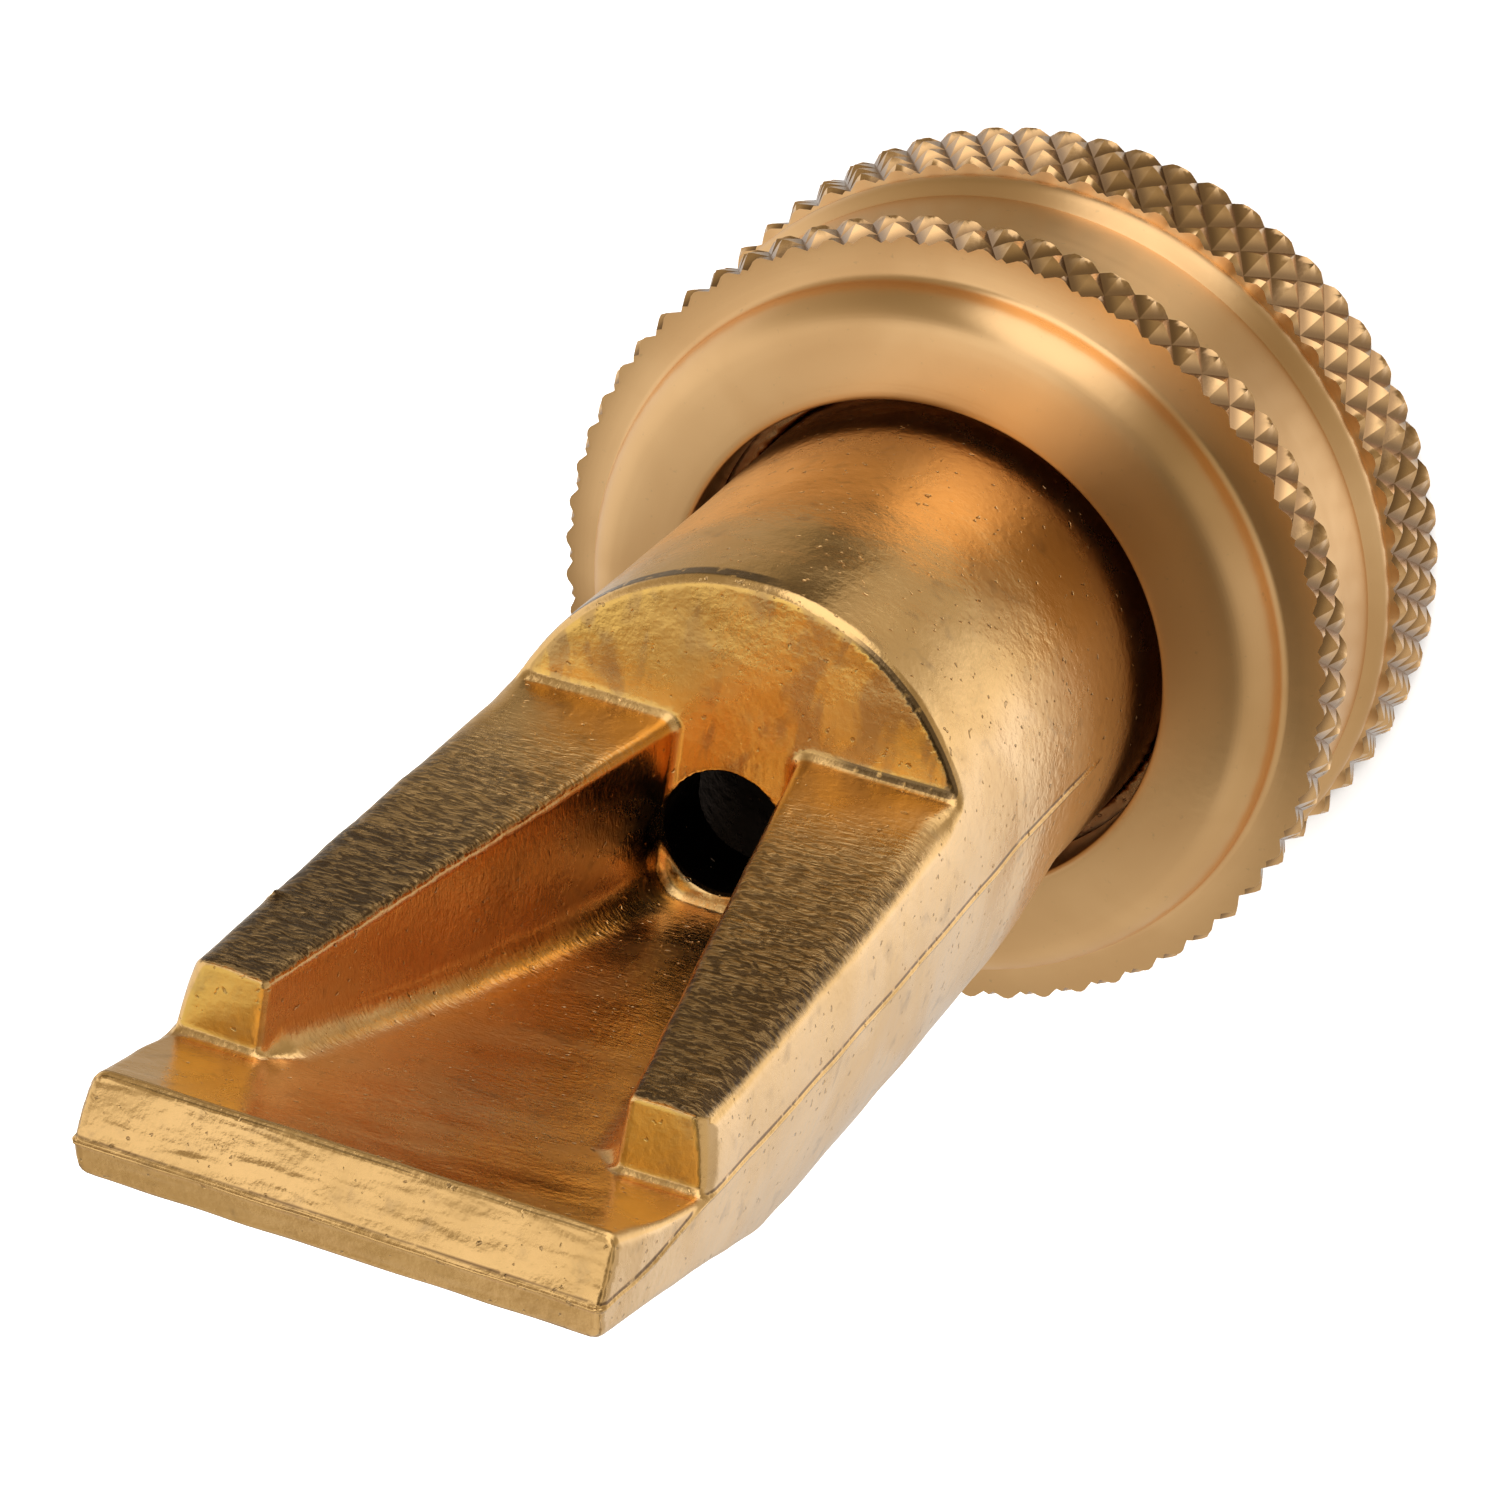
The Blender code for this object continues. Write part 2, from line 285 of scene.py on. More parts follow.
def rib_field(x, y, z):
    """The rib on the +X side: its top, its side of the channel and its front face."""
    top = RIB_TOP_ROOT + RIB_TOP_SLOPE * (z - WALL_HEIGHT) - y
    inner = CHANNEL_ROOT + CHANNEL_TAPER * (z - WALL_HEIGHT) + CHANNEL_DRAFT * top - x
    front = z - RIB_FRONT - RIB_FRONT_DRAFT * y
    ribs = meet(top, inner * 0.98, RIB_INNER_EDGE)
    return meet(ribs, front * 0.985, RIB_FRONT_EDGE)


def waterway_field(radius, z):
    """The inlet bore, the cone above it and the orifice."""
    wide = np.interp(z, (INLET_TOP, ORIFICE_BOTTOM), (INLET_RADIUS, ORIFICE_RADIUS))
    slant = np.where((z > INLET_TOP) & (z < ORIFICE_BOTTOM), CONE_SLANT, 1.0)
    return np.maximum((radius - wide) * slant, z - WALL_HEIGHT - 1.5)


def tip_field(y, z):
    """The two faces of the lip's front edge, which meet at the mould's seam."""
    y = y - LIP_FOREMOST
    above = LIP_TOP_REACH * (z - TIP) - LIP_TOP_BACK * y
    above = above / np.hypot(LIP_TOP_REACH, LIP_TOP_BACK)
    below = LIP_BOTTOM_REACH * (z - TIP) + LIP_BOTTOM_BACK * y
    below = below / np.hypot(LIP_BOTTOM_REACH, LIP_BOTTOM_BACK)
    seam = LIP_SEAM_HEIGHT * np.exp(-((y / SEAM_WIDTH) ** 2))
    return meet(above, below, LIP_SEAM_EDGE) + LIP_INSET - seam


def burr_height(x, y, z):
    """How far the nick of metal stands out at a point."""
    away = (x - BURR[0]) ** 2 + (y - BURR[1]) ** 2 + 3 * (z - BURR[2]) ** 2
    return BURR_HEIGHT * np.exp(-away / BURR_SPREAD)


def body_field(x, y, z):
    """The whole spreader. It is the same on both sides but for its unevenness and the burr."""
    burr = burr_height(x, y, z)
    x, y, z = uneven(x, y, z)
    x = np.abs(x)
    radius = np.sqrt(x * x + y * y)
    floor = (floor_depth(z) - y) * 0.98
    wall = z - WALL_HEIGHT - WALL_DRAFT * y
    fillet = CHANNEL_FILLET - (CHANNEL_FILLET - RIB_FOOT_FILLET) * smooth_step(z, *RIB_FOOT_HEIGHTS)
    fan = join(rib_field(x, y, z), floor, fillet)
    fan = join(fan, wall, WALL_FILLET)
    edge = ARCH_EDGE + (RIB_OUTER_EDGE - ARCH_EDGE) * smooth_step(z, *ARCH_HEIGHTS)
    edge -= (RIB_OUTER_EDGE - LIP_ROOT_EDGE) * smooth_step(z, *RIB_END_HEIGHTS)
    edge += (LIP_SIDE_EDGE - LIP_ROOT_EDGE) * smooth_step(z, *LIP_SIDE_HEIGHTS)
    body = meet(outer_field(x, y, z), fan, edge) - burr
    back = (y - through(BACK_OUTLINE, z)) * 0.93
    back_edge = BACK_EDGE - (BACK_EDGE - BACK_TIP_EDGE) * smooth_step(z, *BACK_EDGE_HEIGHTS)
    body = meet(body, back, back_edge)
    body = meet(body, tip_field(y, z), LIP_FRONT_EDGE)
    half = FLANGE_HEIGHT / 2
    flange = meet(radius - FLANGE_RADIUS, np.abs(z - FLANGE_TOP + half) - half, FLANGE_EDGE)
    body = join(body, flange, FLANGE_EDGE)
    body = meet(body, BODY_BOTTOM - z, BORE_EDGE)
    return meet(body, -waterway_field(radius, z), BORE_EDGE)


# Meshes.


def untangle(grid):
    """Fills one corner of each cell face whose corners alternate, so each edge of the net has two faces."""
    for first, second in ((0, 1), (1, 2), (2, 0)) * 2:
        low = grid < 0
        near, far = np.delete(low, -1, first), np.delete(low, 0, first)
        corner, beside = np.delete(near, -1, second), np.delete(near, 0, second)
        across, opposite = np.delete(far, -1, second), np.delete(far, 0, second)
        at = list(np.nonzero((corner == opposite) & (beside == across) & (corner != beside)))
        at[second] = at[second] + corner[tuple(at)]
        grid[tuple(at)] = -0.001


def surface_net(field, axes):
    """Points and quads on the zero surface of a field, from a grid with these lines along X, Y and Z."""
    grid = field(*np.meshgrid(*axes, indexing="ij"))
    untangle(grid)
    cells = np.array(grid.shape) - 1
    steps = (cells[1] * cells[2], cells[2], 1)
    total = np.zeros((3, cells.prod()))
    count = np.zeros(cells.prod())
    quads = []
    for axis in range(3):
        first = np.delete(grid, -1, axis)
        second = np.delete(grid, 0, axis)
        at = np.nonzero((first < 0) != (second < 0))
        near, far = first[at], second[at]
        share = near / (near - far)
        point = [axes[k][at[k]] for k in range(3)]
        lines = axes[axis]
        point[axis] = lines[at[axis]] + share * (lines[at[axis] + 1] - lines[at[axis]])
        b, c = (axis + 1) % 3, (axis + 2) % 3
        cell = sum(at[k] * steps[k] for k in range(3))
        around = [cell, cell - steps[b], cell - steps[b] - steps[c], cell - steps[c]]
        for corner in around:
            count += np.bincount(corner, minlength=len(count))
            for k in range(3):
                total[k] += np.bincount(corner, weights=point[k], minlength=len(count))
        ring = np.stack(around, 1)
        ring[near > 0] = ring[near > 0][:, ::-1]
        quads.append(ring)
    used = np.nonzero(count)[0]
    points = (total[:, used] / count[used]).T
    return points, np.searchsorted(used, np.concatenate(quads))


def gradient(field, points):
    step = 0.01
    slopes = []
    for axis in range(3):
        shift = np.zeros(3)
        shift[axis] = step
        slopes.append((field(*(points + shift).T) - field(*(points - shift).T)) / (2 * step))
    return np.stack(slopes, 1)


def unit(vectors):
    return vectors / np.linalg.norm(vectors, axis=1, keepdims=True)


def settle(field, points, rounds=2):
    """Moves points onto the zero surface."""
    for _ in range(rounds):
        slope = gradient(field, points)
        size = np.maximum((slope**2).sum(1), 0.3)
        points = points - slope * np.clip(field(*points.T) / size, -0.3, 0.3)[:, None]
    return points


def relax(field, points, quads, rounds):
    """Evens out the mesh along the surface."""
    ends = np.concatenate([quads[:, (k, (k + 1) % 4)] for k in range(4)])
    share = 1 / np.bincount(ends[:, 0], minlength=len(points))
    for _ in range(rounds):
        mean = np.stack([np.bincount(ends[:, 0], points[ends[:, 1], k], len(points)) for k in range(3)], 1)
        move = mean * share[:, None] - points
        normal = unit(gradient(field, points))
        move -= normal * (move * normal).sum(1)[:, None]
        points = settle(field, points + 0.5 * move, 1)
    return points


def add_mesh(name, points, faces, material, body, normals=None):
    """A piece from points in millimetres, which rides on a body."""
    mesh = bpy.data.meshes.new(name)
    mesh.from_pydata((points * MM).tolist(), [], faces.tolist())
    mesh.shade_smooth()
    if normals is not None:
        mesh.normals_split_custom_set_from_vertices(normals.tolist())
    mesh.materials.append(material)
    made = bpy.data.objects.new(name, mesh)
    bpy.context.scene.collection.objects.link(made)
    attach(made, body)
    return made


FINE_CELL = 0.26


def grid_lines(low, high, coarse, fine_places):
    """Grid lines from low to high. Each fine place is a centre, a reach and the spacing there."""
    lines = [low]
    while lines[-1] < high:
        step = coarse
        for centre, reach, fine in fine_places:
            away = abs(lines[-1] + fine / 2 - centre) - reach
            step = min(step, fine + max(away, 0) * 0.35)
        lines.append(lines[-1] + step)
    return np.array(lines)


def spreader_body(material):
    cell = FINE_CELL
    margin = 2.2  # beyond the boss, to hold the flange
    seam = (0.2, 0.5, 0.07)
    rib_tops = (-3.5, 0.8, cell * 0.6)
    fan = (FAN_MIDDLE, FAN_REACH, cell)
    arch = (WALL_HEIGHT - 0.5, 0.8, cell * 0.6)
    xs = grid_lines(-BOSS_RADIUS - margin - 0.05, BOSS_RADIUS + margin, cell, ())
    ys = grid_lines(-BOSS_RADIUS - margin, BACK_DEPTH + margin, cell, (seam, rib_tops))
    zs = grid_lines(BODY_BOTTOM - 0.6, TIP + 0.6, cell * 1.6, (fan, arch))
    points, quads = surface_net(body_field, (xs, ys, zs))
    points = settle(body_field, points)
    points = relax(body_field, points, quads, 3)
    normals = unit(gradient(body_field, points))
    made = add_mesh("spreader_casting", points, quads, material, "spreader", normals)
    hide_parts("spreader_body")


# The nut.


def knurl(angle, z):
    """Height of a diamond knurl, from 0 in its valleys to 1 at its points."""
    around = NUT_TEETH * angle / TAU
    along = z / (2 * KNURL_ROW_STEP)
    left = 1 - 2 * np.abs((around + along) % 1.0 - 0.5)
    right = 1 - 2 * np.abs((around - along) % 1.0 - 0.5)
    return np.minimum(np.minimum(left, right) / KNURL_CUT, 1)


def knurl_rows(bottom, top):
    """(heights of the ends, height) up a knurled band, in steps that fall on its pyramids' edges."""
    step = 2 * KNURL_ROW_STEP / TOOTH_SEGMENTS
    rows = [bottom + step * k for k in range(int((top - bottom) / step) + 1)]
    return [((bottom, top), z) for z in rows + [top]]


def knurl_ring(z, bottom, top, angle):
    """Radius along a ring of a knurled band whose two edges are chamfered."""
    rough = NUT_RADIUS - KNURL_DEPTH * (1 - np.clip(knurl(angle, z - bottom), 0, 1))
    from_edge = np.minimum(z - bottom, top - z)
    edge = NUT_RADIUS - KNURL_CHAMFER + from_edge * KNURL_CHAMFER_SLOPE
    return np.minimum(rough, edge)


def thread_ring(z, angle):
    """Radius along a ring of the female thread, which runs out at its top and is chamfered at its mouth."""
    turn = (z / THREAD_PITCH - angle / TAU) % 1.0
    crest = np.clip(2.4 * np.abs(2 * turn - 1) - 0.7, 0, 1)  # flat lands between sloping flanks
    cut = THREAD_MINOR_RADIUS + (THREAD_MAJOR_RADIUS - THREAD_MINOR_RADIUS) * crest
    fade = smooth_step(z, THREAD_TOP - THREAD_RUN_OUT, THREAD_TOP)
    cut = cut + (THREAD_MAJOR_RADIUS - cut) * fade
    return np.maximum(cut, THREAD_MAJOR_RADIUS + THREAD_MOUTH_CHAMFER - z)


def arc(centre, radius, start, end, count=5):
    """Points (radius, height) along an arc, from one angle in degrees to another."""
    turns = np.radians(np.linspace(start, end, count))
    return [(centre[0] + radius * math.cos(t), centre[1] + radius * math.sin(t)) for t in turns]


def hub_crown():
    """Points (radius, height) in along the hub's turned face, which falls away towards its edge."""
    edge, hole = HUB_RADIUS - HUB_EDGE_RADIUS + 0.25, HUB_HOLE_RADIUS + 0.4
    for share in (0.25, 0.5, 0.75, 1.0):
        fall = FACE_FALL * 1.08 * (1 - share) * (1 - 0.4 * share)
        yield edge + (hole - edge) * share, NUT_LENGTH - fall


def nut_profile():
    """(radius, height) round the nut's section, from its rear face up the outside and down the bore.

    In a knurled band the radius is the heights of the band's ends, and in the thread it is "thread".
    """
    profile = knurl_rows(0.0, REAR_BAND_TOP)
    profile += BEAD
    profile += [(GROOVE_RADIUS, z) for z in GROOVE_HEIGHTS]
    profile += [GROOVE_END]
    flange_edge = FLANGE_FACE - FACE_FALL / 2
    profile += knurl_rows(FRONT_BAND_BOTTOM, flange_edge)
    profile += [(FLANGE_FACE_RADIUS - 0.12, flange_edge)]
    foot = HUB_FOOT_FILLET
    profile += arc((HUB_RADIUS + foot, FLANGE_FACE + foot), foot, 262, 180)
    hub_corner = (HUB_RADIUS - HUB_EDGE_RADIUS, NUT_LENGTH - HUB_EDGE_RADIUS - FACE_FALL)
    profile += arc(hub_corner, HUB_EDGE_RADIUS, 0, 81, 9)
    profile += hub_crown()
    edge = HUB_HOLE_EDGE
    profile += arc((HUB_HOLE_RADIUS + edge, NUT_LENGTH - edge), edge, 90, 180, 4)
    profile += [
        (HUB_HOLE_RADIUS, SHOULDER_HEIGHT + 0.1),
        (HUB_HOLE_RADIUS + 0.1, SHOULDER_HEIGHT),
        (COUNTERBORE_RADIUS, SHOULDER_HEIGHT),
        (COUNTERBORE_RADIUS, RELIEF_TOP),
        (RELIEF_RADIUS, RELIEF_TOP),
        (RELIEF_RADIUS, THREAD_TOP + 0.1),
    ]
    heights = np.arange(THREAD_TOP, -THREAD_ROW / 2, -THREAD_ROW)
    profile += [("thread", max(z, 0.0)) for z in heights]
    profile += [(radius, 0.0) for radius in REAR_FACE_RADII]
    return profile


def ring_points(radius, z, angle):
    """A ring of points at one height. Its radius is one number, or one for each angle."""
    radius = radius * np.ones(len(angle))
    return np.stack([radius * np.cos(angle), radius * np.sin(angle), np.full(len(angle), z)], 1)


def ring_faces(count, segments):
    """Quads between neighbouring rings of points, and from the last ring back to the first."""
    ring, turn = np.meshgrid(np.arange(count), np.arange(segments), indexing="ij")
    up, on = (ring + 1) % count, (turn + 1) % segments
    corners = (ring, turn), (ring, on), (up, on), (up, turn)
    return np.stack([row * segments + place for row, place in corners], -1).reshape(-1, 4)


def split_valleys(points, quads):
    """Two triangles for each quad, split along its deeper diagonal, so the knurl's valleys are straight."""
    reach = np.hypot(points[:, 0], points[:, 1])[quads]
    valley = reach[:, 0] + reach[:, 2] < reach[:, 1] + reach[:, 3]
    one_way = quads[:, ((0, 1, 2), (0, 2, 3))]
    other_way = quads[:, ((0, 1, 3), (1, 2, 3))]
    return np.where(valley[:, None, None], one_way, other_way).reshape(-1, 3)


def coupling_nut(material):
    segments = NUT_TEETH * TOOTH_SEGMENTS
    angle = np.arange(segments) * TAU / segments
    rings = []
    for radius, z in nut_profile():
        if isinstance(radius, str):
            radius = thread_ring(z, angle)
        elif isinstance(radius, tuple):
            radius = knurl_ring(z, *radius, angle)
        rings.append(ring_points(radius, z, angle))
    points = np.concatenate(rings)
    faces = split_valleys(points, ring_faces(len(rings), segments))
    made = add_mesh("knurled_nut", points, faces, material, "nut")
    made.data.set_sharp_from_angle(angle=math.radians(35))
    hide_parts("coupling_nut")


def hose_washer(material):
    segments = 160
    angle = np.arange(segments) * TAU / segments
    outer, hole, low, high = WASHER_HIGH[0], WASHER_HOLE_RADIUS, WASHER_LOW[2], WASHER_HIGH[2]
    edge = WASHER_EDGE
    profile = arc((outer - edge, low + edge), edge, -90, 0)
    profile += arc((outer - edge, high - edge), edge, 0, 90)
    profile += arc((hole + edge, high - edge), edge, 90, 180)
    profile += arc((hole + edge, low + edge), edge, 180, 270)
    rings = [ring_points(radius, z, angle) for radius, z in profile]
    faces = ring_faces(len(rings), segments)
    made = add_mesh("rubber_washer", np.concatenate(rings), faces, material, "nut")
    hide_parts("hose_washer")


# Materials.


def principled(name, color, metallic, roughness):
    """A plain material."""
    made = bpy.data.materials.new(name)
    made.use_nodes = True
    shader = made.node_tree.nodes["Principled BSDF"]
    shader.inputs["Base Color"].default_value = (*color, 1)
    shader.inputs["Metallic"].default_value = metallic
    shader.inputs["Roughness"].default_value = roughness
    return made


class Nodes:
    """Adds nodes to a tree and links them. An input is a number, a colour or another node's output."""

    def __init__(self, tree):
        self.tree = tree

    def add(self, kind, output=0, inputs=(), **settings):
        node = self.tree.nodes.new(kind)
        for name, value in settings.items():
            setattr(node, name, value)
        for place, value in dict(inputs).items():
            self.put(node.inputs[place], value)
        return node.outputs[output]

    def put(self, socket, value):
        if isinstance(value, bpy.types.NodeSocket):
            self.tree.links.new(value, socket)
        else:
            socket.default_value = value

    def math(self, operation, *values):
        return self.add("ShaderNodeMath", inputs=enumerate(values), operation=operation)

    def product(self, *values):
        total = values[0]
        for value in values[1:]:
            total = self.math("MULTIPLY", total, value)
        return total

    def total(self, *values):
        total = values[0]
        for value in values[1:]:
            total = self.math("ADD", total, value)
        return total

    def vector(self, operation, first, second, output=0):
        inputs = enumerate((first, second))
        return self.add("ShaderNodeVectorMath", output, inputs, operation=operation)

    def split(self, vector):
        outputs = self.add("ShaderNodeSeparateXYZ", inputs={0: vector}).node.outputs
        return outputs[0], outputs[1], outputs[2]

    def span(self, value, low, high, start=0.0, end=1.0):
        """value, eased from start at low to end at high."""
        inputs = enumerate((value, low, high, start, end))
        return self.add("ShaderNodeMapRange", inputs=inputs, interpolation_type="SMOOTHSTEP")

    def ramp(self, value, stops):
        """A grey for value, from straight lines through pairs of place and brightness."""
        output = self.add("ShaderNodeValToRGB", inputs={0: value})
        elements = output.node.color_ramp.elements
        for _ in range(len(stops) - 2):
            elements.new(0.5)
        for element, (place, light) in zip(elements, stops):
            element.position = place
            element.color = (light, light, light, 1)
        return output

    def mix(self, share, first, second, blend="MIX"):
        node = self.tree.nodes.new("ShaderNodeMix")
        node.data_type = "RGBA"
        node.blend_type = blend
        for place, value in ((0, share), (6, first), (7, second)):
            if isinstance(value, tuple):
                value = (*value, 1)
            self.put(node.inputs[place], value)
        return node.outputs[2]

    def noise(self, place, scale, stretch=None, detail=2.0, warp=0.0):
        """Noise from 0 to 1, with about this many lumps per millimetre, and more along a stretched axis."""
        if stretch is not None:
            place = self.vector("MULTIPLY", place, stretch)
        inputs = {"Vector": place, "Scale": scale, "Detail": detail, "Distortion": warp}
        return self.add("ShaderNodeTexNoise", inputs=inputs)


def start_surface(name, metallic, roughness):
    """A material, its nodes, its shader, and the place in millimetres and the normal in the part's frame."""
    made = principled(name, (0.5, 0.5, 0.5), metallic, roughness)
    nodes = Nodes(made.node_tree)
    outputs = nodes.add("ShaderNodeTexCoord").node.outputs
    place = nodes.vector("MULTIPLY", outputs["Object"], (1000.0, 1000.0, 1000.0))
    return made, nodes, made.node_tree.nodes["Principled BSDF"], place, outputs["Normal"]


def press(nodes, shader, height):
    """Bump from a height in millimetres."""
    normal = nodes.add("ShaderNodeBump", inputs={"Height": height, "Distance": MM})
    nodes.put(shader.inputs["Normal"], normal)


def from_axis(nodes, place):
    """Distance from the nozzle's axis."""
    flat = nodes.vector("MULTIPLY", place, (1.0, 1.0, 0.0))
    return nodes.vector("LENGTH", flat, (0.0, 0.0, 0.0), "Value")


CAST_GOLD = (0.96, 0.595, 0.24)
CLOUD_GOLD = (0.86, 0.53, 0.19)
# Paler gold: a painted sheen on the outer side faces.
OUTSIDE_SHEEN_GOLD = (0.95, 0.67, 0.4)
WALL_GOLD = (0.93, 0.56, 0.14)
FRONT_GOLD = (0.87, 0.53, 0.12)
WATERWAY_BROWN = (0.9, 0.56, 0.29)
# Painted shade for the neck near the nut.
NECK_PAINTED_SHADE = (0.36, 0.21, 0.12)
SMEAR_BROWN = (0.42, 0.25, 0.13)
# Dark brown for the rib tops: tarnish, plus a painted dark reflection.
RIB_TOP_TARNISH_AND_REFLECTION_BROWN = (0.12, 0.07, 0.03)
SEAM_BROWN = (0.2, 0.11, 0.05)
# Dark brown for the painted reflections round the arch and the line along the lip.
REFLECTION_AND_LIP_LINE_BROWN = (0.12, 0.075, 0.04)
TARNISH = (0.3, 0.2, 0.12)
# Near black: painted shade on the bore's walls, and dark blotches beside the orifice.
BORE_SHADE_AND_BLOTCH_BLACK = (0.05, 0.035, 0.025)
ORIFICE_BLOTCH_CENTRE = (1.9, 1.0, 35.6)  # beside the orifice, on both sides
ORIFICE_BLOTCH_REACH = (2.5, 0.8)

# Pairs of heights in millimetres. A region or a look comes in from the first of a pair to the second.
NECK_DARKENS = (23.0, 14.5)
SEAM_SHOWS = (21.0, 23.0)
WALL_STARTS = (32.5, 33.0)
WALL_ENDS = (36.5, 36.0)
RIB_TOPS_DARK_START = (36.5, 42.0)
RIB_TOPS_WRINKLE = (36.0, 42.0)
RIB_TOPS_DARKEN = (39.0, 54.0)
RIB_FRONTS_START = (58.8, 59.1)
RIB_FRONTS_END = (61.0, 60.8)
FLOOR_DARKENS = (66.0, 56.0)
LIP_FACES_START = (65.5, 66.5)
BORE_DARKENS = (6.0, 20.0)


def bore_shade_mask(nodes, place, z):
    """1 on the walls of the inlet bore, its cone and the orifice, less towards the bore's mouth. This is
    where the painted shade goes.
    """
    radius = from_axis(nodes, place)
    in_inlet = nodes.span(radius, INLET_RADIUS + 0.2, INLET_RADIUS + 0.1)
    inlet = nodes.product(in_inlet, nodes.span(z, ORIFICE_BOTTOM, ORIFICE_BOTTOM - 0.1))
    in_throat = nodes.span(radius, ORIFICE_RADIUS + 0.1, ORIFICE_RADIUS)
    throat = nodes.product(in_throat, nodes.span(z, WALL_HEIGHT, WALL_HEIGHT - 0.2))
    return nodes.product(nodes.math("MAXIMUM", inlet, throat), nodes.span(z, *BORE_DARKENS))


def cast_regions(nodes, place, normal):
    """Masks for the regions of the casting, from where a point lies and which way its face looks."""
    x, y, z = nodes.split(place)
    across, back, along = nodes.split(normal)
    outward = nodes.math("MULTIPLY", across, nodes.math("SIGN", x))
    on_fan = nodes.span(z, WALL_HEIGHT + 0.1, WALL_HEIGHT + 1)
    faces_tip = nodes.span(along, 0.85, 0.95)
    region = SimpleNamespace(x=x, y=y, z=z, along=along)
    region.rib_top = nodes.product(nodes.span(back, -0.5, -0.85), nodes.span(y, -2.7, -2.95), on_fan)
    floor = nodes.product(nodes.span(back, -0.85, -0.98), nodes.span(y, -2.95, -2.7), on_fan)
    inner_wall = nodes.product(nodes.span(outward, -0.8, -0.97), on_fan)
    inner_wall = nodes.product(inner_wall, nodes.span(z, RIB_FRONT + 0.3, RIB_FRONT))
    region.waterway = nodes.math("MAXIMUM", inner_wall, nodes.product(floor, nodes.span(z, *FLOOR_DARKENS)))
    region.fillet = nodes.product(nodes.span(outward, -0.1, -0.35), nodes.span(back, -0.1, -0.35), on_fan)
    region.wall = nodes.product(faces_tip, nodes.span(z, *WALL_STARTS), nodes.span(z, *WALL_ENDS))
    rib_end = nodes.product(nodes.span(z, *RIB_FRONTS_START), nodes.span(z, *RIB_FRONTS_END))
    region.rib_front = nodes.product(faces_tip, rib_end)
    region.lip = nodes.product(nodes.span(along, 0.5, 0.8), nodes.span(z, *LIP_FACES_START))
    region.outside = nodes.product(nodes.span(back, -0.6, -0.4), nodes.span(outward, -0.5, -0.2))
    region.bore = bore_shade_mask(nodes, place, z)
    half = nodes.add("ShaderNodeCombineXYZ", inputs={0: nodes.math("ABSOLUTE", x), 1: y, 2: z})
    from_blotch_centre = nodes.vector("DISTANCE", half, ORIFICE_BLOTCH_CENTRE, "Value")
    region.beside_orifice = nodes.span(from_blotch_centre, *ORIFICE_BLOTCH_REACH)
    return region


def seam_mask(nodes, region, grain):
    """A broken dark line beside the mould's raised seam."""
    drop = nodes.span(region.z, SEAM_DROP_START, TIP - 2, 0.0, LIP_FOREMOST)
    off_seam = nodes.math("SUBTRACT", region.y, drop)
    beside = nodes.math("ABSOLUTE", nodes.math("ADD", off_seam, 0.15))
    line = nodes.product(nodes.span(beside, 0.15, 0.06), nodes.span(region.z, *SEAM_SHOWS))
    return nodes.product(line, nodes.span(grain, 0.25, 0.45), region.outside)


def arch_reflection_and_lip_lines_mask(nodes, region, grain):
    """Painted dark reflections behind the arch and just inside its -X edge, and a dark line along the lip's
    upper edge.
    """
    off_wall = nodes.total(region.z, nodes.product(region.y, -WALL_DRAFT), -WALL_HEIGHT)
    arched = nodes.product(nodes.span(region.y, -3.2, -4.4), nodes.span(grain, 0.3, 0.42))
    behind = nodes.product(nodes.span(off_wall, -1.05, -0.85), nodes.span(off_wall, -0.25, -0.4), arched)
    behind = nodes.product(behind, nodes.span(region.along, 0.6, 0.4), nodes.span(region.x, -1.5, 0.5))
    inside = nodes.product(nodes.span(off_wall, -0.4, -0.3), nodes.span(region.x, -3.5, -5.0), arched)
    on_round = nodes.product(nodes.span(region.along, 0.55, 0.65), nodes.span(region.along, 0.98, 0.95))
    arch_reflection_lines = nodes.math("MAXIMUM", behind, nodes.product(inside, on_round))
    section = nodes.add("ShaderNodeCombineXYZ", inputs={1: region.y, 2: region.z})
    lip_edge = (0.0, LIP_FOREMOST - LIP_TOP_REACH, TIP - LIP_TOP_BACK)
    near_lip_edge = nodes.span(nodes.vector("DISTANCE", section, lip_edge, "Value"), 0.2, 0.1)
    lip_line = nodes.product(near_lip_edge, nodes.span(grain, 0.35, 0.5))
    return nodes.math("MAXIMUM", arch_reflection_lines, lip_line)


